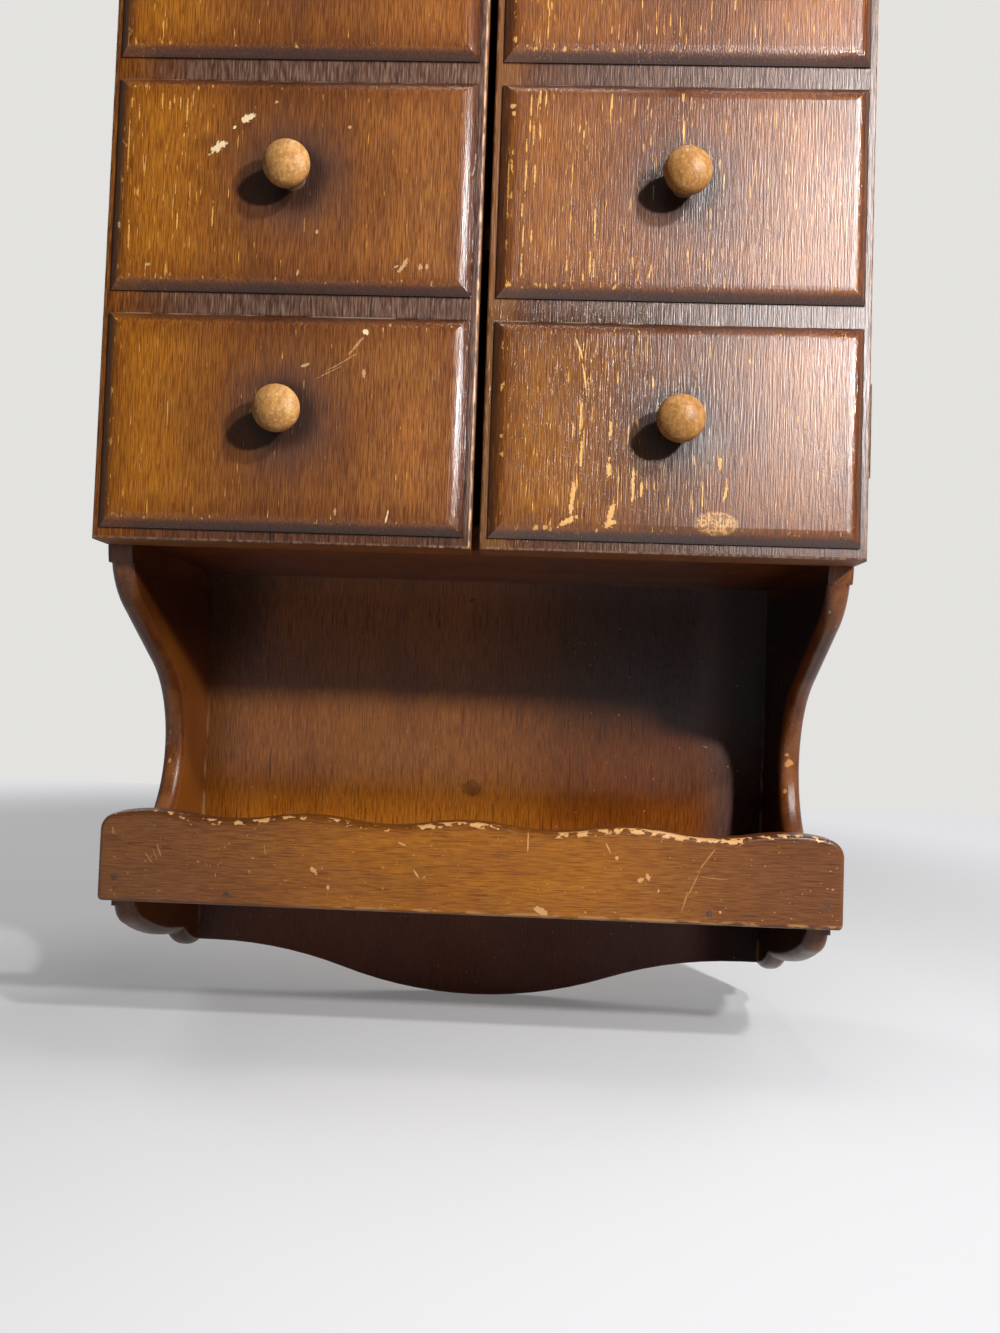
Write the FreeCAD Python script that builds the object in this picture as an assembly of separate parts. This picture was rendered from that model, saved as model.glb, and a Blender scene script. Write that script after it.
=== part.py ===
import FreeCAD, Part
import math
import os

# Wall cabinet with two doors cut to look like stacked drawers, and an open tray below.
# Millimetres. X runs left to right, Y runs from the front into the wall, Z is up.
# The origin lies on the wall, midway between the two hanging holes.

# Case boards
case_width = 304.8
side_depth = 111.0
side_thick = 10.0
back_thick = 6.0
floor_thick = 10.0
shelf_thick = 10.0
shelf_count = 2
shelf_setback = 5.0
housing_depth = 3.0

# Top board and crest
top_thick = 12.0
top_over_side = 6.0
top_over_door = 5.0
top_corner = 6.0
top_round = 4.0
crest_end = 16.0

# Doors with false drawer fronts
rows = 4
row_pitch = 95.25
band = 9.2
stile = 3.3
door_stock = 19.0
groove_depth = 3.7
groove_step = 0.7
bevel_run = 3.7
door_ease = 1.2
field_round = 7.0
meeting_gap = 3.3
door_gap = 1.0
top_gap = 2.0
door_drop = 2.0

# Turned knobs and their screws
knob_rise = 2.2
knob_d = 18.4
knob_proj = 16.5
knob_rim_h = 10.5
knob_rim_round = 4.0
knob_under_d = 13.4
knob_under_h = 5.9
knob_neck_d = 8.8
knob_neck_h = 3.2
knob_foot_d = 10.6
knob_screw_d = 3.8
knob_screw_grip = 10.0
knob_bore_spare = 1.0
knob_head_d = 8.0
knob_head_h = 2.2

# Hanging holes in the back panel
hang_drop = 24.0
hang_spacing = 160.0
hang_hole_d = 5.0

# Tray floor and rail
tray_depth = 90.5
tray_level = 150.0
tray_floor_thick = 10.0
rail_thick = 10.5
rail_height = 38.3
rail_over = 2.3
rail_corner = 6.0
rail_foot_corner = 2.0
rail_round = 2.0
wave_count = 4
wave_end = 19.7
wave_height = 3.0
nail_d = 1.8
nail_head_d = 2.6
nail_head_h = 1.2
nail_length = 26.0
nail_rise = 10.0
floor_nail_spacing = 200.0
back_nail_length = 18.0
back_nail_spacing = 90.0

# Curved front edge of the sides between case and rail
scoop_radius = 44.0
scoop_run = 7.5
scoop_slope = 32.0
lug_height = 19.0
shoulder_radius = 32.0
round_over = 4.0
round_stop = 9.0

# Lobed feet of the sides, below the rail
foot_strip = 4.0
nose_back = 7.0
nose_drop = 9.0
nose_lean = 12.0
cusp_from_wall = 26.5
cusp_drop = 29.5
cusp_radius = 2.5
heel_drop = 40.5

# Ogee on the apron and, turned over, on the crest
ogee_flat = 9.0
ogee_rise = 22.0
apron_end = 37.5
ogee_ease = 1.5

# Butt hinges
hinge_length = 38.0
hinge_inset = 55.0
leaf_thick = 1.2
leaf_width = 9.0
knuckle_d = 5.0
pin_d = 2.4
pin_clear = 0.05
knuckle_gap = 0.3
barrel_clear = 0.4
gain_clear = 0.2
screw_d = 2.4
screw_head_d = 4.6
screw_length = 12.0
screw_point_d = 0.6
screw_pitch = 24.0

# Magnetic catches under the top board and strikes on the doors
catch_length = 46.0
catch_body = 24.0
catch_depth = 14.0
catch_height = 13.0
catch_ear = 3.0
catch_inset = 5.0
magnet_width = 18.0
magnet_height = 7.0
magnet_proud = 1.0
catch_clear = 0.3
strike_length = 30.0
strike_height = 8.0
strike_thick = 1.0
catch_screw_d = 2.8
catch_screw_head_d = 5.6
catch_screw_head_h = 1.8
catch_screw_length = 9.0

# Levels and planes that follow from the sizes above
top_z = hang_drop
door_height = rows * row_pitch
door_z1 = top_z - top_gap
door_z0 = door_z1 - door_height
floor_z = door_z0 + door_drop
inner_z = floor_z + floor_thick
rail_z = floor_z - tray_level
half_width = case_width / 2
inner_half = half_width - side_thick
housed_half = inner_half + housing_depth
side_y = -side_depth
back_y = -back_thick
door_back_y = side_y - door_gap
field_y = door_back_y - door_stock
border_y = field_y + groove_depth
rail_y = -tray_depth
door_x0 = -half_width
door_x1 = -meeting_gap / 2
knob_x = (door_x0 + door_x1) / 2
hinge_x = -(half_width + barrel_clear + knuckle_d / 2)
hinge_y = side_y - door_gap / 2
shelf_step = (top_z - inner_z - shelf_count * shelf_thick) / (shelf_count + 1) + shelf_thick

V = FreeCAD.Vector
parts = {}


def box(x0, x1, y0, y1, z0, z1):
    return Part.makeBox(x1 - x0, y1 - y0, z1 - z0, V(x0, y0, z0))


def mirrored(shape):
    return shape.mirror(V(0, 0, 0), V(1, 0, 0))


def same(a, b):
    return abs(a - b) < 1e-6


def line(a, b):
    return Part.LineSegment(a, b).toShape()


def bend(start, angle, end):
    # Middle point of the arc that leaves start at the given angle and reaches end, and its last angle
    chord = math.atan2(end[1] - start[1], end[0] - start[0])
    half = math.hypot(end[0] - start[0], end[1] - start[1]) / 2
    sag = half * math.tan((chord - angle) / 2)
    mid = ((start[0] + end[0]) / 2 + sag * math.sin(chord),
           (start[1] + end[1]) / 2 - sag * math.cos(chord))
    return mid, 2 * chord - angle


def outline(place, path):
    # Face inside a path of points, where a pair of points is an arc's middle and end. A line closes a gap
    edges = []
    last = path[0]
    for step in path[1:]:
        if isinstance(step[0], tuple):
            edges.append(Part.Arc(place(last), place(step[0]), place(step[1])).toShape())
            last = step[1]
        else:
            edges.append(line(place(last), place(step)))
            last = step
    if not (same(last[0], path[0][0]) and same(last[1], path[0][1])):
        edges.append(line(place(last), place(path[0])))
    return Part.Face(Part.Wire(edges))


def walked_back(path):
    # The same path from its end to its start
    ends = [step[1] if isinstance(step[0], tuple) else step for step in path]
    back = [ends[-1]]
    for i in range(len(path) - 1, 0, -1):
        back.append((path[i][0], ends[i - 1]) if isinstance(path[i][0], tuple) else ends[i - 1])
    return back


def flipped(path):
    # The same path mirrored left to right and walked the other way
    def flip(step):
        if isinstance(step[0], tuple):
            return tuple(flip(point) for point in step)
        return (-step[0], step[1])

    return [flip(step) for step in walked_back(path)]


def flat_screw(base, direction, d, head_d, length):
    sink = (head_d - d) / 2
    head = Part.makeCone(head_d / 2, d / 2, sink, base, direction)
    shank_at = base + direction * sink
    shank = Part.makeCylinder(d / 2, length - sink - d, shank_at, direction)
    tip = Part.makeCone(d / 2, screw_point_d / 2, d, base + direction * (length - d), direction)
    return head.fuse(shank).fuse(tip).removeSplitter()


def pan_screw(base, direction, d, head_d, head_h, length):
    slope = head_h / 2
    rim = Part.makeCylinder(head_d / 2, head_h - slope, base - direction * (head_h - slope), direction)
    crown = Part.makeCone(head_d / 2 - slope, head_d / 2, slope, base - direction * head_h, direction)
    return crown.fuse(rim).fuse(Part.makeCylinder(d / 2, length, base, direction)).removeSplitter()


# Boards that lie between the sides, as their depth and height ranges
def shelf_range(index):
    z = inner_z + index * shelf_step - shelf_thick
    return side_y + shelf_setback, back_y, z, z + shelf_thick


floor_range = (side_y, back_y, floor_z, inner_z)
tray_range = (rail_y, back_y, rail_z, rail_z + tray_floor_thick)


def board_between(span):
    board = box(-housed_half, housed_half, *span)
    return board.cut(back_nails((span[2] + span[3]) / 2))


# Hinges, drawn for the left door
def hinge_levels():
    return {"upper": door_z1 - hinge_inset, "lower": door_z0 + hinge_inset}


def hinge_screw_points(z):
    x = door_x0 + leaf_width / 2
    return [(x, z - screw_pitch / 2), (x, z + screw_pitch / 2)]


def case_hinge_screws(z):
    return [flat_screw(V(x, side_y, sz), V(0, 1, 0), screw_d, screw_head_d, screw_length)
            for x, sz in hinge_screw_points(z)]


def door_hinge_screws(z):
    return [flat_screw(V(x, door_back_y, sz), V(0, -1, 0), screw_d, screw_head_d, screw_length)
            for x, sz in hinge_screw_points(z)]


def hinge_gain(z, y0, y1):
    reach = hinge_length / 2 + gain_clear
    return box(door_x0, door_x0 + leaf_width + gain_clear, y0, y1, z - reach, z + reach)


def hinge_leaf(z, y0, y1, knuckles, gaps, bore, screws):
    leaf = box(hinge_x, door_x0 + leaf_width, y0, y1, z - hinge_length / 2, z + hinge_length / 2)
    for z0, z1 in knuckles:
        leaf = leaf.fuse(Part.makeCylinder(knuckle_d / 2, z1 - z0, V(hinge_x, hinge_y, z0)))
    for z0, z1 in gaps:
        room = knuckle_d / 2 + barrel_clear
        leaf = leaf.cut(Part.makeCylinder(room, z1 - z0, V(hinge_x, hinge_y, z0)))
    hole = Part.makeCylinder(bore / 2, hinge_length, V(hinge_x, hinge_y, z - hinge_length / 2))
    leaf = leaf.cut(hole)
    return leaf.cut(screws).removeSplitter()


def case_leaf(z):
    low, high = z - hinge_length / 2, z + hinge_length / 2
    third = hinge_length / 3
    return hinge_leaf(z, side_y, side_y + leaf_thick,
                      [(low, low + third), (high - third, high)],
                      [(low + third, high - third)], pin_d, case_hinge_screws(z))


def door_leaf(z):
    low, high = z - hinge_length / 2, z + hinge_length / 2
    third = hinge_length / 3
    return hinge_leaf(z, door_back_y - leaf_thick, door_back_y,
                      [(low + third + knuckle_gap, high - third - knuckle_gap)],
                      [(low, low + third + knuckle_gap), (high - third - knuckle_gap, high)],
                      pin_d + 2 * pin_clear, door_hinge_screws(z))


def hinge_pin(z):
    return Part.makeCylinder(pin_d / 2, hinge_length, V(hinge_x, hinge_y, z - hinge_length / 2))


def nail(base, direction, length):
    head = Part.makeCylinder(nail_head_d / 2, nail_head_h, base, direction)
    return head.fuse(Part.makeCylinder(nail_d / 2, length, base, direction)).removeSplitter()


# Nails that hold the rail to the sides and to the tray floor
def rail_nails():
    spots = [(x, rail_z + nail_rise) for x in (-half_width + side_thick / 2, half_width - side_thick / 2)]
    spots += [(x, rail_z + tray_floor_thick / 2) for x in (-floor_nail_spacing / 2, floor_nail_spacing / 2)]
    return [nail(V(x, rail_y - rail_thick, z), V(0, 1, 0), nail_length) for x, z in spots]


# Nails through the back panel into the rear edge of a board whose middle lies at level z
def back_nails(z):
    return [nail(V(x, 0, z), V(0, -1, 0), back_nail_length)
            for x in (-back_nail_spacing, 0, back_nail_spacing)]


def nailed_levels():
    boards = [floor_range, tray_range] + [shelf_range(i + 1) for i in range(shelf_count)]
    return [(z0 + z1) / 2 for y0, y1, z0, z1 in boards] + [top_z + top_thick / 2]


def all_back_nails():
    return [n for z in nailed_levels() for n in back_nails(z)]


# Slice of a side board between two levels, with the curved front edges rounded over
def rounded_zone(side, z0, z1):
    zone = side.common(box(-half_width, -inner_half, side_y, 0, z0, z1))
    edges = []
    for edge in zone.Edges:
        middle = edge.CenterOfMass
        along = same(edge.BoundBox.XLength, 0)
        seat = same(middle.y, 0) or same(middle.y, rail_y)
        if along and not seat and not same(middle.z, z0) and not same(middle.z, z1):
            edges.append(edge)
    return zone.makeFillet(round_over, edges)


# Side board: square case part, scooped front edge, lug behind the rail and two lobes at the foot
def side_board():
    slope = math.radians(scoop_slope)
    centre = (rail_y + scoop_run, rail_z + lug_height + scoop_radius)

    def scoop(angle):
        return (centre[0] + scoop_radius * math.cos(angle), centre[1] + scoop_radius * math.sin(angle))

    leave = scoop(math.pi / 2 - slope)
    lean = (leave[0] - side_y) / math.cos(slope)
    corner_z = leave[1] + lean * math.sin(slope)
    reach = shoulder_radius * math.tan((math.pi / 2 - slope) / 2)
    shoulder0 = (side_y, corner_z + reach)
    shoulder1 = (side_y + reach * math.cos(slope), corner_z - reach * math.sin(slope))
    shoulder_mid = bend(shoulder0, -math.pi / 2, shoulder1)[0]

    strip = (rail_y, rail_z - foot_strip)
    nose = (rail_y + nose_back, rail_z - foot_strip - nose_drop)
    cusp = (-cusp_from_wall, rail_z - cusp_drop)
    heel = (0.0, rail_z - heel_drop)
    nose_mid, nose_turn = bend(strip, math.radians(nose_lean - 90), nose)
    belly_mid = bend(nose, nose_turn, cusp)[0]
    fall = math.atan2(heel[1] - cusp[1], heel[0] - cusp[0])
    heel_mid = bend(cusp, 2 * fall, heel)[0]

    face = outline(lambda p: V(-half_width, p[0], p[1]), [
        (side_y, top_z), shoulder0, (shoulder_mid, shoulder1), leave,
        (scoop(-slope / 2), scoop(-math.pi / 2)), (rail_y, centre[1] - scoop_radius),
        strip, (nose_mid, nose), (belly_mid, cusp), (heel_mid, heel), (0.0, top_z)])
    side = face.extrude(V(side_thick, 0, 0))
    notch = [e for e in side.Edges
             if all(same(v.Y, cusp[0]) and same(v.Z, cusp[1]) for v in e.Vertexes)]
    side = side.makeFillet(cusp_radius, notch)

    # The round-over runs along the curves and stops short of the square case and of the rail's seat
    lowest = rail_z - heel_drop - cusp_drop
    square = side.cut(box(-half_width, -inner_half, side_y, 0, lowest, floor_z - round_stop))
    scooped = rounded_zone(side, rail_z - foot_strip, floor_z - round_stop)
    lobed = rounded_zone(side, lowest, rail_z - foot_strip)
    side = square.fuse([scooped, lobed]).removeSplitter()

    spans = [floor_range, tray_range] + [shelf_range(i + 1) for i in range(shelf_count)]
    for y0, y1, z0, z1 in spans:
        side = side.cut(box(-housed_half, -inner_half, y0, y1, z0, z1))
    for z in hinge_levels().values():
        side = side.cut(hinge_gain(z, side_y, side_y + leaf_thick))
        side = side.cut(case_hinge_screws(z))
    return side.cut(rail_nails())


# Ogee from its middle out to its flat right end
def half_ogee(middle_z, end_z):
    end = (inner_half - ogee_flat, end_z)
    knee = (end[0] / 2, (middle_z + end_z) / 2)
    near, slope = bend((0.0, middle_z), 0.0, knee)
    return [(0.0, middle_z), (near, knee), (bend(knee, slope, end)[0], end)]


def back_panel():
    apron_z = rail_z - apron_end
    crest_z = top_z + top_thick + crest_end
    apron = half_ogee(apron_z - ogee_rise, apron_z) + [(inner_half, apron_z), (inner_half, crest_z)]
    right = apron + walked_back(half_ogee(crest_z + ogee_rise, crest_z))
    face = outline(lambda p: V(p[0], back_y, p[1]), right + flipped(right)[1:])
    panel = face.extrude(V(0, back_thick, 0))
    curved = [e for e in panel.Edges if same(e.CenterOfMass.y, back_y) and not same(e.BoundBox.XLength, 0)]
    panel = panel.makeFillet(ogee_ease, curved)
    for x in (-hang_spacing / 2, hang_spacing / 2):
        panel = panel.cut(Part.makeCylinder(hang_hole_d / 2, back_thick, V(x, back_y, 0), V(0, 1, 0)))
    return panel.cut(all_back_nails())


def top_board():
    half = half_width + top_over_side
    front = field_y - top_over_door
    board = box(-half, half, front, 0, top_z, top_z + top_thick)
    corners = [e for e in board.Edges if all(same(v.Y, front) for v in e.Vertexes)
               and same(e.BoundBox.XLength, 0)]
    board = board.makeFillet(top_corner, corners)
    rims = [e for e in board.Edges if not same(e.CenterOfMass.y, 0) and same(e.BoundBox.ZLength, 0)]
    board = board.makeFillet(top_round, rims)
    board = board.cut(box(-inner_half, inner_half, back_y, 0, top_z, top_z + top_thick))
    for screw in catch_screws():
        board = board.cut([screw, mirrored(screw)])
    return board.cut(back_nails(top_z + top_thick / 2))


# Rail with a waved top edge, rounded ends and an eased front
def tray_rail():
    end = half_width + rail_over
    top = rail_z + rail_height
    pitch = 2 * (end - wave_end) / wave_count
    middle = top - wave_height / 2
    crest = end - wave_end
    knee = (end - rail_corner, middle)
    knee_mid, droop = bend((crest, top), 0.0, knee)
    shoulder = (end, middle - rail_corner * math.tan((math.pi / 2 - droop) / 2))
    shoulder_mid = bend(knee, droop, shoulder)[0]
    foot = rail_foot_corner * (1 - math.sqrt(0.5))

    right = [(end - rail_foot_corner, rail_z),
             ((end - foot, rail_z + foot), (end, rail_z + rail_foot_corner)),
             shoulder, (shoulder_mid, knee), (knee_mid, (crest, top))]
    turn = (crest - pitch / 4, middle)
    right.append((bend((crest, top), math.pi, turn)[0], turn))
    waves = []
    for i in range(2 * wave_count - 1):
        x = turn[0] - i * pitch / 2
        peak = top if i % 2 else top - wave_height
        waves.append(((x - pitch / 4, peak), (x - pitch / 2, middle)))
    face = outline(lambda p: V(p[0], rail_y - rail_thick, p[1]), right + waves + flipped(right)[1:])
    rail = face.extrude(V(0, rail_thick, 0))
    front = [e for e in rail.Edges if same(e.CenterOfMass.y, rail_y - rail_thick)]
    return rail.makeFillet(rail_round, front).cut(rail_nails())


def tray_floor():
    return board_between(tray_range).cut(rail_nails())


# Middles of the rows of false drawers, from the top row down
def row_levels():
    return [door_z1 - (i + 0.5) * row_pitch for i in range(rows)]


# Turned mushroom knobs, drawn for the left door, a little above the middle of each row
def knob_levels():
    return [z + knob_rise for z in row_levels()]


def knob_screw(z):
    return pan_screw(V(knob_x, door_back_y, z), V(0, -1, 0), knob_screw_d, knob_head_d, knob_head_h,
                     door_stock + knob_screw_grip)


def knob(z):
    rim = (knob_d / 2, knob_rim_h)
    under = (knob_under_d / 2, knob_under_h)
    neck = (knob_neck_d / 2, knob_neck_h)
    foot = (knob_foot_d / 2, 0.0)

    # The dome is an arc about the axis that runs into the rim's smaller arc
    hub = rim[0] - knob_rim_round
    crown = knob_proj - knob_rim_h
    dome = (crown ** 2 + hub ** 2 - knob_rim_round ** 2) / (2 * (crown - knob_rim_round))
    lean = math.atan2(hub, knob_rim_h - (knob_proj - dome))

    def on_rim(angle):
        return (hub + knob_rim_round * math.sin(angle), knob_rim_h + knob_rim_round * math.cos(angle))

    def on_dome(angle):
        return (dome * math.sin(angle), knob_proj - dome + dome * math.cos(angle))

    under_mid, turn = bend(rim, -math.pi / 2, under)
    neck_mid, turn = bend(under, turn, neck)
    foot_mid = bend(neck, turn, foot)[0]
    face = outline(lambda p: V(knob_x + p[0], field_y - p[1], z), [
        (0.0, knob_proj), (on_dome(lean / 2), on_dome(lean)), (on_rim((lean + math.pi / 2) / 2), rim),
        (under_mid, under), (neck_mid, neck), (foot_mid, foot), (0.0, 0.0)])
    turned = face.revolve(V(knob_x, field_y, z), V(0, 1, 0), 360)
    bore = Part.makeCylinder(knob_screw_d / 2, knob_screw_grip + knob_bore_spare,
                             V(knob_x, field_y, z), V(0, -1, 0))
    return turned.cut(bore)


# Left door: one board, grooved so that each row stands up as a bevelled false drawer
def field_wire(y, z, inset):
    x0, x1 = door_x0 + stile + inset, door_x1 - stile - inset
    half = (row_pitch - band) / 2 - inset
    return Part.makePolygon([V(x0, y, z - half), V(x1, y, z - half), V(x1, y, z + half),
                             V(x0, y, z + half), V(x0, y, z - half)])


def left_door():
    door = box(door_x0, door_x1, border_y, door_back_y, door_z0, door_z1)
    rim = [e for e in door.Edges if same(e.CenterOfMass.y, border_y)]
    door = door.makeFillet(door_ease, rim)
    for z in row_levels():
        step_y = border_y - groove_step
        foot = Part.Face(field_wire(border_y, z, 0)).extrude(V(0, -groove_step, 0))
        bevel = Part.makeLoft([field_wire(step_y, z, 0), field_wire(field_y, z, bevel_run)], True, True)
        shoulder = [e for e in bevel.Edges if same(e.CenterOfMass.y, field_y)]
        door = door.fuse(foot).fuse(bevel.makeFillet(field_round, shoulder))
    door = door.removeSplitter().cut([knob_screw(z) for z in knob_levels()])
    for z in hinge_levels().values():
        door = door.cut(hinge_gain(z, door_back_y - leaf_thick, door_back_y))
        door = door.cut(door_hinge_screws(z))
    return door.cut(strike_screw())


# Magnetic catch for the left door, screwed up into the top board beside the meeting line
catch_x = door_x1 - catch_inset - catch_length / 2
magnet_y = door_back_y + strike_thick + catch_clear
catch_y = magnet_y + magnet_proud
magnet_z = top_z - catch_height / 2


def catch_screws():
    ear = (catch_length + catch_body) / 4
    return [pan_screw(V(catch_x + s * ear, catch_y + catch_depth / 2, top_z - catch_ear), V(0, 0, 1),
                      catch_screw_d, catch_screw_head_d, catch_screw_head_h, catch_screw_length)
            for s in (-1, 1)]


def catch_magnet():
    return box(catch_x - magnet_width / 2, catch_x + magnet_width / 2, magnet_y, catch_y + catch_depth / 2,
               magnet_z - magnet_height / 2, magnet_z + magnet_height / 2)


def catch_housing():
    body = box(catch_x - catch_body / 2, catch_x + catch_body / 2, catch_y, catch_y + catch_depth,
               top_z - catch_height, top_z)
    ears = box(catch_x - catch_length / 2, catch_x + catch_length / 2, catch_y, catch_y + catch_depth,
               top_z - catch_ear, top_z)
    return body.fuse(ears).removeSplitter().cut(catch_magnet()).cut(catch_screws())


def strike_screw():
    return flat_screw(V(catch_x, door_back_y + strike_thick, magnet_z), V(0, -1, 0),
                      screw_d, screw_head_d, screw_length)


def strike():
    plate = box(catch_x - strike_length / 2, catch_x + strike_length / 2, door_back_y,
                door_back_y + strike_thick, magnet_z - strike_height / 2, magnet_z + strike_height / 2)
    return plate.cut(strike_screw())


parts["left_side"] = side_board()
parts["right_side"] = mirrored(parts["left_side"])
parts["top_board"] = top_board()
parts["case_floor"] = board_between(floor_range)
for index, name in enumerate(["lower_shelf", "upper_shelf"][:shelf_count]):
    parts[name] = board_between(shelf_range(index + 1))
parts["back_panel"] = back_panel()
parts["tray_floor"] = tray_floor()
parts["tray_rail"] = tray_rail()
parts["rail_nails"] = Part.makeCompound(rail_nails())
parts["back_nails"] = Part.makeCompound(all_back_nails())

pairs = {"door": left_door(), "catch_housing": catch_housing(), "catch_magnet": catch_magnet(),
         "strike": strike(), "strike_screw": strike_screw(),
         "knob_screws": Part.makeCompound([knob_screw(z) for z in knob_levels()])}
for index, z in enumerate(knob_levels()):
    pairs["knob_%d" % (index + 1)] = knob(z)
for level, z in hinge_levels().items():
    pairs[level + "_hinge_case_leaf"] = case_leaf(z)
    pairs[level + "_hinge_door_leaf"] = door_leaf(z)
    pairs[level + "_hinge_pin"] = hinge_pin(z)
pairs["hinge_case_screws"] = Part.makeCompound(
    [s for z in hinge_levels().values() for s in case_hinge_screws(z)])
pairs["hinge_door_screws"] = Part.makeCompound(
    [s for z in hinge_levels().values() for s in door_hinge_screws(z)])
pairs["catch_screws"] = Part.makeCompound(catch_screws())
for name, shape in pairs.items():
    parts["left_" + name] = shape
    parts["right_" + name] = mirrored(shape)

os.makedirs("parts", exist_ok=True)
for name, shape in parts.items():
    print(name, shape.isValid(), len(shape.Solids), round(shape.Volume, 1))
    shape.exportStep("parts/" + name + ".step")
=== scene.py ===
import math
import bpy
from mathutils import Matrix, Quaternion, Vector


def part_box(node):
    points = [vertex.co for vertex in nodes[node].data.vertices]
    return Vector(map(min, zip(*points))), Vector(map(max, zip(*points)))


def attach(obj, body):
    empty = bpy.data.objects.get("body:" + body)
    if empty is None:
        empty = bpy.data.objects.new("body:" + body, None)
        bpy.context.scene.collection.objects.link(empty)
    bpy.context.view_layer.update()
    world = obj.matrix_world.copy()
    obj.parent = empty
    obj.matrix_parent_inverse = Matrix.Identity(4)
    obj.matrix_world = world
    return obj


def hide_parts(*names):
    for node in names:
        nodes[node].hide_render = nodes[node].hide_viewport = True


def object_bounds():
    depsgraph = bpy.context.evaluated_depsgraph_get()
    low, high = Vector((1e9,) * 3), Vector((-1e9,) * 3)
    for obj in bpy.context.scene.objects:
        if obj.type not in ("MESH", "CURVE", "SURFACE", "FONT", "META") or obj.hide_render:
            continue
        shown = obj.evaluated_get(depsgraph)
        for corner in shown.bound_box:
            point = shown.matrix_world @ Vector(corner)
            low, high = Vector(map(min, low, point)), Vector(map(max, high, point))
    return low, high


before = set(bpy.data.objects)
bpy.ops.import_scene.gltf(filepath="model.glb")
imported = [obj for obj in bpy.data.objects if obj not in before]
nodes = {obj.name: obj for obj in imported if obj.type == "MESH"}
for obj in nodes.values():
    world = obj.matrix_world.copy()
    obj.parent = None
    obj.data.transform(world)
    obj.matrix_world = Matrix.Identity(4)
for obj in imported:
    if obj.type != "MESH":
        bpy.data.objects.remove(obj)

cad_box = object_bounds()
bpy.ops.object.select_all(action="DESELECT")


# Side boards: one length of close-grained hardwood each, sawn to a scooped outline and rounded over along
# the curves. They are toned red-brown under a satin lacquer, and hands have rubbed the rounded edge. Their
# inner faces carry painted light on the left board and painted shade on the right one and under the case.
class Spread:
    """A value that varies over a surface, such as a distance or the strength of a mark."""

    def __init__(self, finish, socket):
        self.finish = finish
        self.socket = socket

    def worked(self, operation, other=0.0):
        node = self.finish.add("ShaderNodeMath", operation=operation)
        self.finish.join(self, node.inputs[0])
        self.finish.join(other, node.inputs[1])
        return Spread(self.finish, node.outputs[0])

    def __add__(self, other):
        return self.worked("ADD", other)

    def __sub__(self, other):
        return self.worked("SUBTRACT", other)

    def __mul__(self, other):
        return self.worked("MULTIPLY", other)

    def __abs__(self):
        return self.worked("ABSOLUTE")

    def most(self, other):
        return self.worked("MAXIMUM", other)

    def far(self, other):
        """Distance from the place where this one and the other are both zero."""
        return (self * self + other * other).worked("SQRT")

    def rise(self, low, high):
        """0 up to low and 1 from high on, or the other way round where high is the lesser."""
        node = self.finish.add("ShaderNodeMapRange", interpolation_type="SMOOTHSTEP")
        self.finish.join(self, node.inputs["Value"])
        self.finish.join(low, node.inputs["From Min"])
        self.finish.join(high, node.inputs["From Max"])
        return Spread(self.finish, node.outputs["Result"])


class Finish:
    """A surface built up in coats. Each call lays colour, relief or gloss over what is there."""

    def __init__(self, name, colour, roughness, metallic=0.0):
        self.material = bpy.data.materials.new(name)
        self.material.use_nodes = True
        self.tree = self.material.node_tree
        self.shader = self.tree.nodes["Principled BSDF"]
        self.shader.inputs["Metallic"].default_value = metallic
        self.place = self.add("ShaderNodeTexCoord").outputs["Object"]
        split = self.add("ShaderNodeSeparateXYZ")
        self.join(self.place, split.inputs[0])
        self.x, self.y, self.z = [Spread(self, socket) for socket in split.outputs]
        self.colour = colour
        self.roughness = roughness
        self.relief = None

    def add(self, kind, **options):
        node = self.tree.nodes.new(kind)
        for option, value in options.items():
            setattr(node, option, value)
        return node

    def join(self, value, socket):
        value = value.socket if isinstance(value, Spread) else value
        if isinstance(value, bpy.types.NodeSocket):
            self.tree.links.new(value, socket)
        else:
            socket.default_value = value

    def clouds(self, size, detail=2.0, seed=0.0):
        """Soft random patches around 0.5, of this size in metres along X, Y and Z."""
        mapping = self.add("ShaderNodeMapping")
        self.join(self.place, mapping.inputs["Vector"])
        mapping.inputs["Scale"].default_value = [1 / length for length in size]
        mapping.inputs["Location"].default_value = (seed, seed / 2, seed / 3)
        noise = self.add("ShaderNodeTexNoise")
        self.join(mapping.outputs[0], noise.inputs["Vector"])
        noise.inputs["Scale"].default_value = 1.0
        noise.inputs["Detail"].default_value = detail
        return Spread(self, noise.outputs[0])

    def mottle(self, size, detail=2.0, seed=0.0):
        """Clouds as wide as they are tall and deep."""
        return self.clouds((size, size, size), detail, seed)

    def mixed(self, share, under, over, blend):
        node = self.add("ShaderNodeMix", data_type="RGBA", blend_type=blend)
        self.join(share, node.inputs[0])
        self.join(under, node.inputs[6])
        self.join(over, node.inputs[7])
        return node.outputs[2]

    def coat(self, share, colour):
        self.colour = self.mixed(share, self.colour, colour, "MIX")

    def shade(self, share, colour):
        self.colour = self.mixed(share, self.colour, colour, "MULTIPLY")

    def lift(self, share, height):
        step = share * height
        self.relief = step if self.relief is None else self.relief + step

    def dull(self, share, change):
        self.roughness = share * change + self.roughness

    def end(self, specular=0.5):
        """Joins the built-up coats to the shader, once all of them are laid."""
        self.join(self.colour, self.shader.inputs["Base Color"])
        self.join(self.roughness, self.shader.inputs["Roughness"])
        self.shader.inputs["Specular IOR Level"].default_value = specular
        if self.relief is not None:
            bump = self.add("ShaderNodeBump")
            bump.inputs["Distance"].default_value = 1.0
            self.join(self.relief, bump.inputs["Height"])
            self.join(bump.outputs[0], self.shader.inputs["Normal"])

    def lay(self, *names):
        """Puts the finish on these pieces of the frame."""
        for name in names:
            nodes[name].material_slots[0].material = self.material


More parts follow.
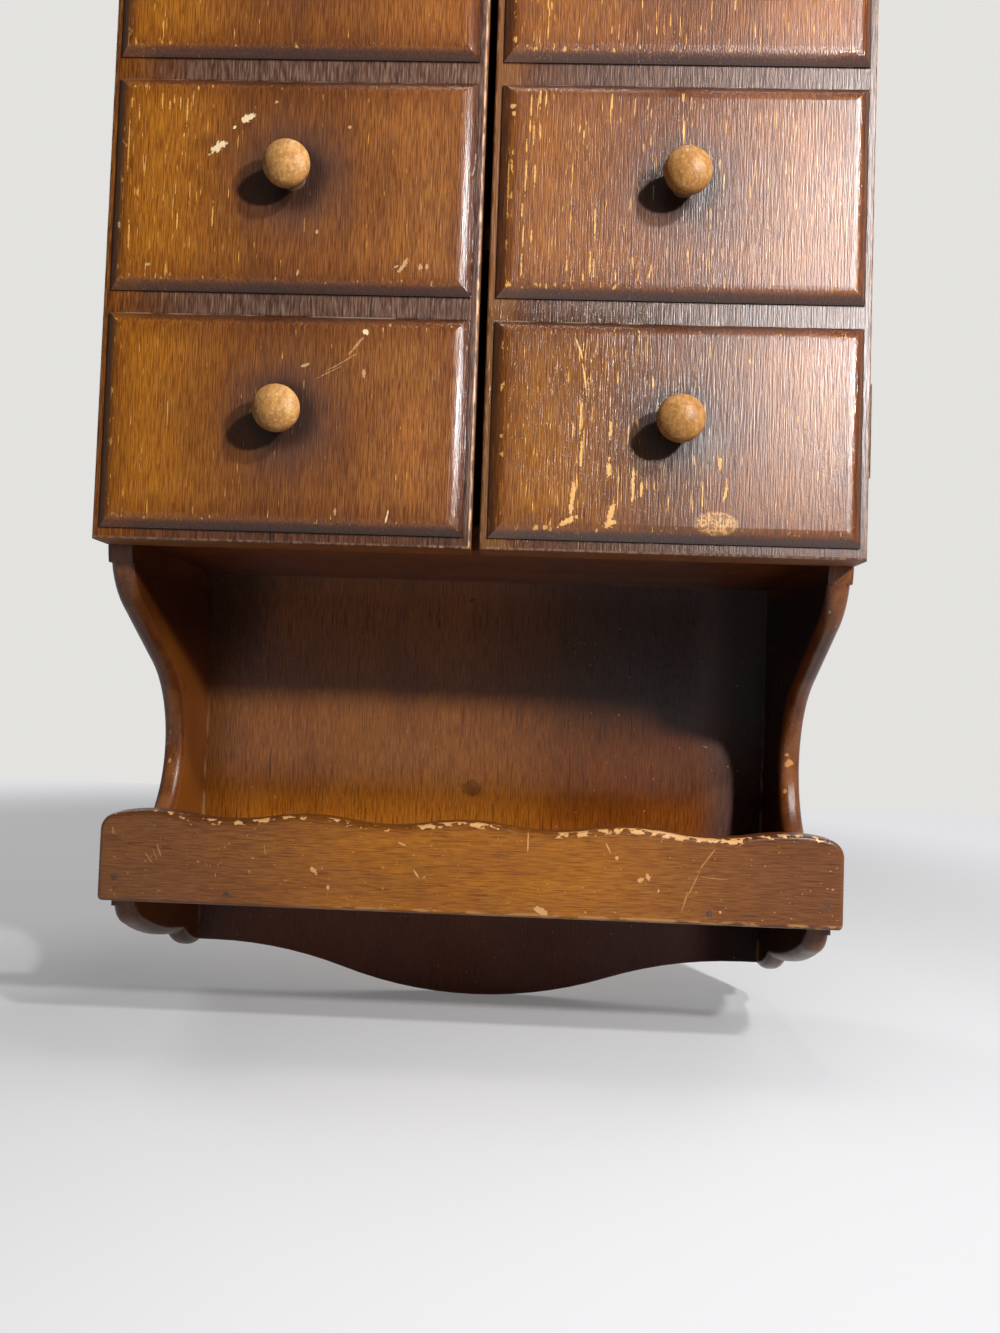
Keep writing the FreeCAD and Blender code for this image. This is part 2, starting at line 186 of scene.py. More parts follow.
def tone(red, green, blue):
    """A colour as the eye reads it, each part from 0 to 255."""
    shares = [part / 255 for part in (red, green, blue)]
    return tuple(s / 12.92 if s < 0.04 else ((s + 0.055) / 1.055) ** 2.4 for s in shares) + (1.0,)


def streak(along, width, length):
    """The size of one streak of grain, long in the direction of the grain."""
    return tuple(length if axis == along else width for axis in "XYZ")


bare_wood = tone(232, 178, 112)
fibre_stain = tone(194, 176, 164)
pore_stain = tone(146, 120, 106)


def stained(name, along, pale, deep, roughness):
    """Wood with a toned stain that follows its broad figure."""
    finish = Finish(name, pale, roughness)
    figure = finish.clouds(streak(along, 0.009, 0.07), detail=3.0, seed=3.0)
    finish.coat(figure.rise(0.36, 0.66), deep)
    return finish


def grained(finish, along, depth=1.0):
    """Short fine fibres and pores along the grain, and the slight swell of brushed lacquer."""
    fibres = finish.clouds(streak(along, 0.0005, 0.0080), detail=2.0, seed=8.0)
    finish.shade(fibres.rise(0.36, 0.66) * depth, fibre_stain)
    pores = finish.clouds(streak(along, 0.0004, 0.0030), detail=2.0, seed=5.0).rise(0.58, 0.72)
    finish.shade(pores * (0.6 * depth), pore_stain)
    finish.lift(fibres, 0.00006)
    finish.lift(pores, -0.00002)
    finish.lift(finish.mottle(0.003, 2.0, 7.0), 0.00004)
    finish.dull(finish.mottle(0.03, 3.0, 1.0) - 0.5, 0.15)


def spot(finish, mark, ragged):
    """A chip, nick or scratch: its place across and up, half its length and breadth, and its slant."""
    across, up, long, broad, slant = mark
    turn = math.radians(slant)
    right = finish.x - across
    rise = finish.z - up
    along = (right * math.cos(turn) + rise * math.sin(turn)) * (1 / long)
    over = (rise * math.cos(turn) - right * math.sin(turn)) * (1 / broad)
    return (along.far(over) + ragged).rise(1.05, 0.8)


def spots(finish, marks, ragged):
    """All the marks of one kind together."""
    total = spot(finish, marks[0], ragged)
    for mark in marks[1:]:
        total = total.most(spot(finish, mark, ragged))
    return total


floor_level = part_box("case_floor")[0].z
side_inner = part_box("right_side")[0].x
side_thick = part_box("right_side")[1].x - side_inner
face_skin = 0.0006
round_over = 0.003
side_finish = stained("side_wood", "Z", tone(132, 76, 36), tone(112, 64, 34), 0.30)
grained(side_finish, "Z")
side_finish.shade(side_finish.mottle(0.05, 3.0, 2.0).rise(0.45, 0.7) * 0.6, tone(190, 160, 146))
into_board = abs(side_finish.x) - side_inner
on_edge = into_board.rise(face_skin, round_over) * (into_board - side_thick).rise(-face_skin, -round_over)
curved = side_finish.z.rise(floor_level + 0.002, floor_level - 0.012)
rubbed = side_finish.mottle(0.018, 4.0, 2.0).rise(0.42, 0.66)
side_finish.coat(on_edge * rubbed * curved * 0.55, tone(168, 104, 56))
flakes = side_finish.clouds((0.003, 0.003, 0.005), 3.0, 9.0).rise(0.71, 0.73)
side_finish.coat(on_edge * flakes * curved, bare_wood)
inner_face = into_board.rise(face_skin, 0.0001) * curved
left_board = side_finish.x.rise(0.01, -0.01)
right_board = side_finish.x.rise(-0.01, 0.01)
# Painted light: the left board's inner face is coated amber; painted shade on the right board's inner face
side_finish.coat(inner_face * left_board * 0.5, tone(156, 88, 22))
side_finish.shade(inner_face * right_board * 0.9, tone(112, 88, 80))
# Painted shade on both inner faces just under the case floor
painted_shade_under_case = side_finish.z.rise(floor_level - 0.052, floor_level - 0.022)
side_finish.shade(inner_face * painted_shade_under_case * 0.75, tone(116, 84, 74))
side_rag = (side_finish.mottle(0.0016, 3.0, 31.0) - 0.5) * 1.6
side_chips = [(0.1465, -0.4425, 0.0022, 0.0017, 20), (0.1453, -0.4386, 0.0009, 0.0008, 0),
              (0.1448, -0.4555, 0.0008, 0.0011, 0), (-0.1484, -0.4520, 0.0007, 0.0012, 0)]
side_finish.coat(spots(side_finish, side_chips, side_rag) * on_edge, tone(214, 146, 84))
side_finish.end(specular=0.4)
side_finish.lay("left_side", "right_side")


# Back panel: one thin veneered sheet between the sides, its grain upright, its apron and crest sawn to an
# ogee. The stain is thin and amber near the tray, painted shade darkens it towards the right, in its
# corners and in the upper part of the tray, and the back is bare.
# Small nails through it into the top board, the shelves and both floors hold it.
tray_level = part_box("tray_floor")[1].z
panel_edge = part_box("back_panel")[1].x
panel_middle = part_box("back_panel")[0].y / 2
panel_finish = stained("panel_veneer", "Z", tone(188, 118, 56), tone(178, 111, 54), 0.24)
above_tray = panel_finish.z - tray_level
amber = above_tray.rise(0.075, 0.02) * panel_finish.mottle(0.06, 2.0, 4.0).rise(0.3, 0.55)
panel_finish.coat(amber * 0.75, tone(196, 118, 22))
grained(panel_finish, "Z", depth=0.8)
veins = panel_finish.clouds(streak("Z", 0.0005, 0.026), detail=3.0, seed=12.0).rise(0.54, 0.68)
panel_finish.shade(veins * 0.75, tone(124, 92, 76))
panel_finish.lift(veins, -0.00004)
# Painted shade: the panel darkens towards the right
panel_finish.shade(panel_finish.x.rise(-0.02, 0.08) * 0.9, tone(184, 160, 138))
smears = panel_finish.clouds((0.03, 0.03, 0.05), detail=3.0, seed=6.0).rise(0.5, 0.66)
panel_finish.shade(smears * 0.28, tone(176, 150, 140))

# Painted shade in the corners and in the dark upper part of the tray, the apron below the rail darker and
# duller, and a duller crest
corner = (abs(panel_finish.x) - panel_edge).rise(-0.030, -0.001)
painted_corner_shade = corner * above_tray.rise(0.13, 0.08) * (panel_finish.x.rise(-0.01, 0.01) * 0.45 + 0.45)
panel_finish.shade(painted_corner_shade, tone(104, 80, 74))
panel_front = panel_finish.y.rise(panel_middle, panel_middle - 0.0005)
in_tray = panel_finish.z.rise(floor_level + 0.006, floor_level + 0.001)
# Painted shadow in the upper part of the tray, at the right and at the left end
painted_shadow_upper_right = panel_finish.x.rise(-0.03, 0.09) * above_tray.rise(0.045, 0.085) * in_tray * panel_front
panel_finish.shade(painted_shadow_upper_right * 0.9, tone(88, 64, 52))
painted_shadow_upper_left = panel_finish.x.rise(-0.100, -0.124) * above_tray.rise(0.065, 0.115) * in_tray * panel_front
panel_finish.shade(painted_shadow_upper_left * 0.8, tone(92, 66, 56))
# Painted shade and more roughness in the tray's right corner
painted_shade_right_corner = panel_finish.x.rise(panel_edge - 0.040, panel_edge - 0.014) * in_tray * panel_front
panel_finish.shade(painted_shade_right_corner * 0.7, tone(120, 96, 88))
panel_finish.dull(painted_shade_right_corner, 0.4)
crest_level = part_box("top_board")[1].z
panel_finish.dull(panel_finish.z.rise(crest_level - 0.004, crest_level) * panel_front, 0.25)
below_rail = above_tray.rise(0.0, -0.004) * panel_front
panel_finish.shade(below_rail, tone(160, 128, 120))
panel_finish.dull(below_rail, 0.4)

# One smudge, dents, pale specks and the glue that shows along the sides
panel_rag = (panel_finish.mottle(0.0016, 3.0, 31.0) - 0.5) * 1.4
smudge = [(-0.0044, tray_level + 0.0345, 0.0046, 0.0044, 0)]
panel_finish.shade(spots(panel_finish, smudge, panel_rag) * 0.5, tone(118, 96, 88))
dents = [(-0.0078, floor_level - 0.0095, 0.0013, 0.0009, 30),
         (-0.0240, floor_level - 0.0225, 0.0004, 0.0030, 0),
         (-0.1005, floor_level - 0.0440, 0.0007, 0.0008, 0),
         (-0.0640, floor_level - 0.0125, 0.0005, 0.0006, 0)]
panel_finish.shade(spots(panel_finish, dents, panel_rag) * 0.85, tone(44, 34, 32))
specks = panel_finish.clouds((0.0016, 0.0016, 0.0024), 2.0, 17.0).rise(0.735, 0.75)
panel_finish.coat(specks * 0.7, tone(206, 152, 92))
joint_line = (abs(panel_finish.x) - panel_edge).rise(-0.0016, -0.0009)
glue = panel_finish.clouds((0.002, 0.002, 0.016), detail=2.0, seed=4.0).rise(0.44, 0.56)
panel_finish.coat(joint_line * glue * above_tray.rise(0.085, 0.06) * 0.8, tone(172, 130, 86))

# The back has no stain, only dust
back_face = panel_front * -1 + 1.0
panel_finish.coat(back_face * 0.85, tone(164, 118, 74))
panel_finish.shade(back_face * veins * 0.7, tone(150, 122, 102))
dust = panel_finish.clouds((0.05, 0.05, 0.09), 4.0, 15.0).rise(0.46, 0.66)
panel_finish.shade(back_face * dust * 0.6, tone(184, 166, 152))
panel_finish.dull(back_face, 0.3)
panel_finish.end(specular=0.6)
panel_finish.lay("back_panel")
nail_finish = Finish("nail_steel", tone(104, 72, 50), 0.55)
nail_finish.coat(nail_finish.mottle(0.0006, 2.0, 1.0).rise(0.45, 0.6), tone(58, 42, 36))
nail_finish.end()
nail_finish.lay("back_nails")


# Boards between the sides: case floor, two shelves and the tray floor, planed and housed into the sides.
# They carry one thin coat of the same stain, with the grain from side to side, and some dust in the pores.
board_finish = stained("board_wood", "X", tone(150, 84, 32), tone(124, 70, 32), 0.34)
grained(board_finish, "X")
dust = board_finish.mottle(0.02, 4.0, 6.0).rise(0.48, 0.72)
board_finish.shade(dust * 0.5, tone(168, 146, 134))
# The boards are darker towards their ends by the sides
board_ends = (abs(board_finish.x) - side_inner).rise(-0.02, 0.0)
board_finish.shade(board_ends * 0.7, tone(128, 104, 94))
board_finish.end(specular=0.4)
board_finish.lay("case_floor", "lower_shelf", "upper_shelf", "tray_floor")


# Top board: a thicker board with rounded front corners and a soft rim, notched round the back panel.
# Its rim is rubbed a little paler than its face, and on its top there are a faint ring and dull patches.
top_low, top_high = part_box("top_board")
top_finish = stained("top_wood", "X", tone(146, 86, 40), tone(122, 72, 36), 0.32)
grained(top_finish, "X")
top_inset = (abs(top_finish.x) - top_high.x).most(top_finish.y * -1 + top_low.y)
worn_rim = top_inset.rise(-0.0045, -0.0005) * top_finish.mottle(0.012, 4.0, 3.0).rise(0.4, 0.62)
top_finish.coat(worn_rim * 0.6, tone(178, 112, 58))
top_flakes = top_finish.clouds((0.004, 0.004, 0.003), 3.0, 9.0).rise(0.69, 0.71)
top_finish.coat(top_flakes * top_inset.rise(-0.003, -0.001), bare_wood)
top_rag = (top_finish.mottle(0.002, 3.0, 31.0) - 0.5) * 1.2
ring_x = 0.07
ring_y = -0.062
ring_radius = 0.031
ring_sharpness = 600
off_ring = abs((top_finish.x - ring_x).far(top_finish.y - ring_y) - ring_radius)
ring = (off_ring * ring_sharpness + top_rag).rise(1.1, 0.5)
upper_face = top_finish.z.rise(top_high.z - 0.001, top_high.z - 0.0002)
top_finish.coat(ring * upper_face * 0.22, tone(190, 140, 96))
top_finish.dull(top_finish.mottle(0.04, 3.0, 5.0).rise(0.45, 0.65) * upper_face, 0.18)
top_finish.end(specular=0.4)
top_finish.lay("top_board")


# Tray rail: a strip with a waved top edge and rounded ends, nailed to the sides and to the tray floor.
# The lacquer is orange-brown in the middle and darker at the ends, and the top edge is worn to bare wood.
rail_low, rail_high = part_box("tray_rail")
wave_pitch = 0.0675
wave_swing = 0.0015
rail_middle = 0.005
rail_finish = stained("rail_wood", "X", tone(187, 117, 33), tone(176, 109, 36), 0.36)
rail_finish.coat(abs(rail_finish.x - rail_middle).rise(0.03, 0.14) * 0.9, tone(138, 87, 50))
rail_finish.shade(rail_finish.x.rise(0.05, 0.15) * 0.7, tone(218, 208, 196))
grained(rail_finish, "X", depth=0.65)
rail_veins = rail_finish.clouds(streak("X", 0.0003, 0.011), detail=3.0, seed=12.0).rise(0.53, 0.65)
rail_finish.shade(rail_veins * 0.55, tone(136, 102, 82))
rail_patches = rail_finish.clouds((0.03, 0.03, 0.012), 3.0, 2.0).rise(0.48, 0.66)
rail_finish.shade(rail_patches * 0.22, tone(204, 184, 172))

# The top edge, worn to bare wood in three runs, with painted shade on the face just under it
rail_front = rail_finish.y.rise(rail_low.y + 0.004, rail_low.y + 0.0022)
wave = (rail_finish.x * (2 * math.pi / wave_pitch)).worked("COSINE") * wave_swing
under_wave = rail_finish.z - wave - (rail_high.z - wave_swing)
# Painted shade on the face just under the waved top edge
rail_finish.shade(under_wave.rise(-0.004, -0.0005) * 0.6, tone(150, 120, 104))
worn_runs = [(-0.088, 0.024, 0.06), (-0.004, 0.010, 0.08), (0.080, 0.040, 0.12)]
bare_run = rail_finish.x * 0.0
for run_middle, run_half, share in worn_runs:
    bare_run = bare_run.most((abs(rail_finish.x - run_middle) - run_half).rise(0.010, -0.008) * share)
wear = rail_finish.clouds((0.0040, 0.004, 0.0016), 4.0, 5.0) + bare_run
wear = wear + under_wave.rise(-0.0026, 0.0) * 0.12
wear = wear + (rail_finish.clouds((0.016, 0.2, 0.2), 2.0, 9.0) - 0.5) * 0.5
wear = wear + (rail_finish.mottle(0.0012, 3.0, 33.0) - 0.5) * 0.3
bared = wear.rise(0.66, 0.70) * under_wave.rise(-0.0026, -0.0014) * rail_front
rail_finish.coat(bared, tone(230, 172, 110))
rail_finish.lift(bared, -0.00025)

# Chips, scratches and specks on the face, and the chipped lower edge
rail_rag = (rail_finish.mottle(0.0014, 3.0, 31.0) - 0.5) * 1.6
rail_marks = [(-0.0640, -0.4905, 0.0010, 0.0014, 60), (-0.0626, -0.4922, 0.0005, 0.0007, 0),
              (-0.0574, -0.4978, 0.0008, 0.0011, 0), (-0.0210, -0.4905, 0.0004, 0.0020, 35),
              (0.0311, -0.5037, 0.0030, 0.0015, -30), (0.0248, -0.4761, 0.0003, 0.0042, 0),
              (0.0713, -0.4894, 0.0016, 0.0010, 20), (0.0745, -0.4882, 0.0008, 0.0016, 20),
              (0.0615, -0.4808, 0.0007, 0.0009, 0), (0.0580, -0.4770, 0.0003, 0.0030, 25),
              (0.0790, -0.4935, 0.0004, 0.0008, 0), (0.1043, -0.5011, 0.0005, 0.0006, 0),
              (-0.0275, -0.4785, 0.0018, 0.0004, -20)]
rail_scratches = [(-0.1330, -0.4885, 0.0034, 0.0003, -52), (-0.1306, -0.4868, 0.0030, 0.0002, -66),
                  (-0.1290, -0.4850, 0.0003, 0.0030, 20), (-0.0845, -0.4830, 0.0002, 0.0024, 10),
                  (0.0985, -0.4800, 0.0062, 0.0003, 54), (0.0935, -0.4897, 0.0065, 0.0003, 66),
                  (0.0898, -0.4975, 0.0042, 0.0003, 74), (0.1010, -0.4875, 0.0060, 0.0002, -4)]
rail_finish.coat(spots(rail_finish, rail_marks, rail_rag) * rail_front * 0.85, tone(232, 180, 122))
rail_finish.coat(spots(rail_finish, rail_scratches, rail_rag) * rail_front * 0.6, tone(214, 154, 92))
specks = rail_finish.clouds((0.0018, 0.0018, 0.0014), 2.0, 17.0).rise(0.715, 0.73)
rail_finish.coat(specks * rail_front * 0.7, tone(220, 160, 96))
lower_edge = rail_finish.z.rise(rail_low.z + 0.0025, rail_low.z + 0.0014)
chipped = rail_finish.clouds((0.009, 0.004, 0.003), 4.0, 3.0).rise(0.46, 0.58)
chipped = chipped * rail_finish.x.rise(-0.09, -0.03)
rail_finish.coat(lower_edge * chipped * rail_front * 0.8, tone(214, 158, 100))
rail_finish.end(specular=0.4)
rail_finish.lay("tray_rail")
nail_finish.lay("rail_nails")


# Doors: one board each, grooved across so that its face looks like a stack of drawers with bevelled edges.
# The toned lacquer is dark in the grooves and round the knobs and thin and amber to the left. It has flaked
# along the grain, and there are chips and scratches down to pale wood. Painted shade rings each knob's foot
# and darkens the bevels below the fields, painted sheen greys and streaks the bands, and a painted
# highlight runs along the groove above each field.
row_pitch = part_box("left_knob_1")[0].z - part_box("left_knob_2")[0].z
knob_rise = 0.0022
band = 0.0092
stile = 0.0033
bevel = 0.0037
groove_depth = 0.0037
lowest_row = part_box("left_door")[0].z + row_pitch

# Marks: place across and up, half the length and breadth, and slant in degrees. Flecks stand upright
left_chips = [(-0.0956, -0.1901, 0.0030, 0.0015, 35), (-0.1010, -0.1940, 0.0011, 0.0005, 40),
              (-0.1075, -0.2021, 0.0040, 0.0016, 35), (-0.0454, -0.2752, 0.0012, 0.0012, 0),
              (-0.0344, -0.3479, 0.0004, 0.0028, -12), (-0.1460, -0.2338, 0.0007, 0.0012, 0)]
left_nicks = [(-0.0319, -0.2485, 0.0032, 0.0009, 55), (-0.0347, -0.2490, 0.0012, 0.0006, 30),
              (-0.0250, -0.2487, 0.0007, 0.0011, 0), (-0.0225, -0.2489, 0.0006, 0.0012, 0),
              (-0.0456, -0.2914, 0.0007, 0.0016, 0), (-0.0690, -0.2888, 0.0022, 0.0006, 25),
              (-0.0551, -0.1931, 0.0008, 0.0008, 0), (-0.0665, -0.2356, 0.0007, 0.0008, 0),
              (-0.0548, -0.3465, 0.0004, 0.0014, 0), (-0.0735, -0.2520, 0.0004, 0.0013, -12),
              (-0.0850, -0.1835, 0.0008, 0.0008, 0), (-0.1335, -0.2500, 0.0012, 0.0007, 0)]
left_scratches = [(-0.0490, -0.2805, 0.0045, 0.0005, 52), (-0.0535, -0.2868, 0.0060, 0.0002, 33),
                  (-0.0590, -0.2912, 0.0050, 0.0002, 28), (-0.0555, -0.2880, 0.0055, 0.00015, 30)]
right_chips = [(0.0092, -0.1835, 0.0010, 0.0012, 0), (0.0098, -0.1866, 0.0008, 0.0012, 0),
               (0.0406, -0.2900, 0.0060, 0.0004, 100), (0.0398, -0.3060, 0.0070, 0.0005, 88),
               (0.0404, -0.3210, 0.0060, 0.0006, 90), (0.0375, -0.3385, 0.0070, 0.0009, 84),
               (0.0360, -0.3475, 0.0036, 0.0012, 30), (0.0515, -0.3110, 0.0040, 0.0006, 90),
               (0.0512, -0.3265, 0.0045, 0.0009, 90), (0.0527, -0.3440, 0.0050, 0.0011, 80),
               (0.0522, -0.3478, 0.0026, 0.0016, 30), (0.0608, -0.3330, 0.0080, 0.0007, 90),
               (0.0640, -0.3345, 0.0030, 0.0006, 90), (0.0940, -0.3230, 0.0030, 0.0009, 90),
               (0.0965, -0.3345, 0.0040, 0.0006, 80), (0.0385, -0.2800, 0.0046, 0.0005, 110)]
left_flecks = [(-0.1306, -0.1838, 0.0037), (-0.1276, -0.1846, 0.0024), (-0.1258, -0.1829, 0.0020),
               (-0.1233, -0.1841, 0.0028), (-0.1204, -0.1875, 0.0055), (-0.1213, -0.1975, 0.0012),
               (-0.1216, -0.2044, 0.0012), (-0.1084, -0.2300, 0.0048), (-0.1225, -0.2315, 0.0036),
               (-0.1434, -0.2020, 0.0130), (-0.1416, -0.2385, 0.0058), (-0.1429, -0.1844, 0.0020),
               (-0.1397, -0.1890, 0.0031)]
right_flecks = [(0.0164, -0.1831, 0.0048), (0.0199, -0.1798, 0.0040), (0.0161, -0.1917, 0.0030),
                (0.0178, -0.1939, 0.0044), (0.0151, -0.2002, 0.0026), (0.0151, -0.2118, 0.0070),
                (0.0187, -0.2110, 0.0056), (0.0141, -0.2252, 0.0028), (0.0149, -0.2366, 0.0050),
                (0.0146, -0.2483, 0.0044), (0.0181, -0.2359, 0.0024), (0.0083, -0.2150, 0.0110),
                (0.0428, -0.2288, 0.0066), (0.0414, -0.2452, 0.0062), (0.0428, -0.2480, 0.0046),
                (0.0323, -0.2470, 0.0034), (0.0388, -0.2514, 0.0024), (0.0374, -0.1946, 0.0022)]
fleck_breadth = 0.00032
patch_place = (0.0932, -0.3468)
patch_size = (0.0085, 0.0048)
cloud_place = (0.0911, -0.3163)
crack_left = 0.0808


def door_finish(side):
    """The lacquered board of one door, its marks set where that door has them."""
    low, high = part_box(side + "_door")
    finish = stained(side + "_door_wood", "Z", tone(166, 104, 44), tone(150, 93, 43), 0.37)
    border = low.y + groove_depth
    front = finish.y.rise(border + 0.0009, border + 0.0004)
    across = finish.x - (low.x + high.x) / 2
    up = (((finish.z - high.z) * (-1 / row_pitch)).worked("FRACT") - 0.5) * -row_pitch
    half_door = (high.x - low.x) / 2
    wide = half_door - stile - bevel
    tall = (row_pitch - band) / 2 - bevel
    edge = (abs(across) - wide).most(abs(up) - tall)
    bottom_row = finish.z.rise(lowest_row + 0.002, lowest_row - 0.002)

    # Thin amber lacquer to the left, darker in the middle and where hands reach for the knob; painted shade
    # at its foot
    patchy = finish.clouds((0.045, 0.045, 0.07), 3.0, 4.0)
    if side == "left":
        amber = across.rise(-0.005, -0.062) * 0.95
    else:
        amber = across.rise(0.01, -0.06) * (bottom_row * up.rise(0.04, -0.02) * 0.65 + 0.35)
    finish.coat(amber * patchy.rise(0.2, 0.5) * front, tone(194, 122, 28))
    finish.coat(across.rise(0.022, 0.055) * patchy.rise(0.3, 0.6) * front * 0.6, tone(184, 114, 46))
    grained(finish, "Z")
    ribs = finish.clouds(streak("Z", 0.0006, 0.0110), 3.0, 9.0)
    finish.shade(ribs.rise(0.50, 0.32) * (0.38 if side == "left" else 0.5), tone(170, 140, 126))
    finish.coat(ribs.rise(0.56, 0.68) * front * 0.22, tone(206, 138, 62))
    finish.lift(ribs, 0.00016)
    finish.lift(finish.mottle(0.0006, 2.0, 13.0), 0.00005)
    from_knob = across.far(up - knob_rise)
    smoky = finish.mottle(0.012, 3.0, 11.0) * 0.6 + 0.7
    finish.shade(from_knob.rise(0.056, 0.010) * smoky * front * 0.75, tone(180, 158, 158))
    finish.shade(from_knob.rise(0.025, 0.010) * smoky * front * 0.65, tone(136, 124, 126))
    finish.coat(from_knob.rise(0.034, 0.012) * smoky * front * 0.10, tone(150, 126, 116))
    # Painted shade in a ring round the knob's foot
    finish.shade(from_knob.rise(0.0165, 0.0095) * front * 0.7, tone(116, 98, 94))

    # The field darkens towards its edges, and stain lies dark on the bevels and black in the grooves. The
    # bands get a grey coat and light streaks of painted sheen, the bevels below the fields painted shade,
    # and the groove above each field a pale line of painted highlight.
    finish.shade(edge.rise(-0.013, 0.0) * front * 0.55, tone(184, 156, 140))
    toward_left = across.rise(-0.056, -0.064) * -0.5 + 1.0
    finish.shade(edge.rise(-0.0005, 0.0012) * toward_left * front * 0.65, tone(140, 114, 104))
    banded = edge.rise(0.0034, 0.0041) * front
    brushed = finish.clouds(streak("Z", 0.0006, 0.006), 2.0, 21.0)
    between_rows = finish.z.rise(low.z + 0.004, low.z + 0.010) * 0.7 + 0.3
    # The bands get a grey coat, partly their own tone and partly painted sheen, and light streaks of
    # painted sheen
    band_tone_and_sheen = banded * across.rise(-0.075, -0.03) * between_rows
    finish.coat(band_tone_and_sheen * 0.5, tone(104, 81, 71))
    painted_sheen_share = 0.42 if side == "left" else 0.26
    finish.coat(band_tone_and_sheen * brushed.rise(0.46, 0.70) * painted_sheen_share, tone(168, 138, 118))
    finish.shade(banded * brushed.rise(0.50, 0.30) * 0.7, tone(138, 116, 106))
    finish.lift(banded * brushed, 0.00008)
    if side == "right":
        finish.coat(banded * across.rise(-0.062, -0.068) * 0.55, tone(150, 98, 44))
    groove = abs(edge - bevel).rise(0.0012, 0.0001) * front
    finish.shade(groove * toward_left * 0.6, tone(92, 66, 52))
    # Painted shade on the bevel below each field, which faces down
    painted_shade_below_field = (up * -1 - tall).rise(0.0006, 0.0018) * edge.rise(0.0037, 0.0034) * front
    finish.shade(painted_shade_below_field * 0.5, tone(150, 132, 124))
    # A pale line of painted highlight along the groove above each field
    over_field = (up - tall).rise(0.0026, 0.0032) * abs(edge - bevel).rise(0.0007, 0.0002)
    painted_highlight_over_field = over_field * finish.clouds((0.020, 0.020, 0.020), 4.0, 29.0).rise(0.42, 0.58) * front
    finish.coat(painted_highlight_over_field * across.rise(0.062, 0.04) * 0.55, tone(178, 160, 144))
    turned = edge.rise(-0.0020, 0.0000) * edge.rise(0.0044, 0.0034) * across.rise(0.05, 0.066) * front
    finish.dull(turned, -0.18)

    # The inside is duller than the face
    inside = front * -1 + 1.0
    finish.dull(inside, 0.2)

    # Flakes along the grain, most of them where the lacquer is thin, and bare wood on the worn ridges
    if side == "left":
        columns = finish.clouds((0.008, 0.008, 0.10), 2.0, 19.0).rise(0.40, 0.60)
        thin = across.rise(0.0, -0.062) * (bottom_row * -0.6 + 1.0) * (columns * 0.6 + 0.4) - 0.25
        share = 0.100
    else:
        columns = finish.clouds((0.010, 0.010, 0.14), 2.0, 19.0).rise(0.47, 0.62)
        thin = (columns * 0.9 + 0.1) * across.rise(0.08, -0.02)
        share = 0.070
        finish.shade(front, tone(240, 234, 232))
        finish.shade(bottom_row * across.rise(0.05, -0.02) * front * 0.8, tone(234, 238, 210))
        finish.dull(bottom_row * across.rise(0.03, -0.03) * front, -0.06)
    flakes = finish.clouds(streak("Z", 0.0008, 0.010), 2.0, 14.0) + thin * share
    on_field = edge.rise(0.0008, -0.0004) * 0.75 + 0.2
    finish.coat(flakes.rise(0.70, 0.73) * front * on_field, tone(234, 172, 86))
    ridge = abs(edge + 0.0004).rise(0.0014, 0.0005) * front
    at_left = across.rise(-0.05, -0.066)
    at_foot = up.rise(-0.034, -0.038) * (across.rise(0.03, -0.06) if side == "right" else 0.25)
    worn = finish.clouds((0.0022, 0.0022, 0.005), 3.0, 23.0) + at_left.most(at_foot) * 0.10 - 0.03
    finish.coat(ridge * worn.rise(0.66, 0.70), tone(228, 168, 88))
    rim = (abs(across) - half_door).most(finish.z * -1 + low.z).rise(-0.0014, -0.0005) * front
    rubbed = finish.clouds((0.002, 0.002, 0.007), 4.0, 27.0).rise(0.42, 0.62)
    meeting = across.rise(0.05, 0.07) * 0.6 if side == "left" else across.rise(-0.05, -0.07) * 0.2
    finish.coat(rim * rubbed * (meeting + 0.4), tone(216, 166, 124))

    # Longer flecks, chips and scratches, a crack in one door and a scuffed patch on the other
    ragged = (finish.mottle(0.0013, 4.0, 31.0) - 0.5) * 2.4
    placed = left_flecks if side == "left" else right_flecks
    upright = [(x, z, half_length, fleck_breadth, 90) for x, z, half_length in placed]
    finish.coat(spots(finish, upright, ragged) * front * 0.9, tone(238, 178, 92))
    if side == "left":
        chips = spots(finish, left_chips, ragged)
        finish.coat(spots(finish, left_scratches, ragged) * front * 0.55, tone(226, 176, 118))
        finish.coat(spots(finish, left_nicks, ragged) * front * 0.6, tone(236, 196, 140))
        crack = abs(finish.x + crack_left).rise(0.0004, 0.0001)
        in_border = finish.z.rise(low.z + 0.008, low.z + 0.0065)
        finish.shade(crack * in_border * front, tone(40, 30, 28))
        pale = tone(250, 222, 172)
    else:
        chips = spots(finish, right_chips, ragged)
        reach = ((finish.x - patch_place[0]) * (1 / patch_size[0])).far(
            (finish.z - patch_place[1]) * (1 / patch_size[1]))
        lacy = abs(finish.mottle(0.0022, 4.0, 33.0) - 0.5).rise(0.055, 0.030)
        scuffed = reach.rise(1.1, 0.8) * (lacy * 0.75 + 0.25)
        finish.coat(scuffed * front * 0.8, tone(222, 168, 104))
        chalky = (finish.x - cloud_place[0]).far(finish.z - cloud_place[1]).rise(0.011, 0.002)
        finish.coat(chalky * brushed.rise(0.4, 0.6) * front * 0.25, tone(178, 164, 158))
        pale = tone(232, 172, 92)
    finish.coat(chips * front, pale)
    finish.lift(chips * front, -0.0002)
    finish.dull(chips * front, 0.3)
    return finish


for side, gloss in (("left", 0.58), ("right", 0.85)):
    lacquer = door_finish(side)
    lacquer.end(specular=gloss)
    lacquer.lay(side + "_door")


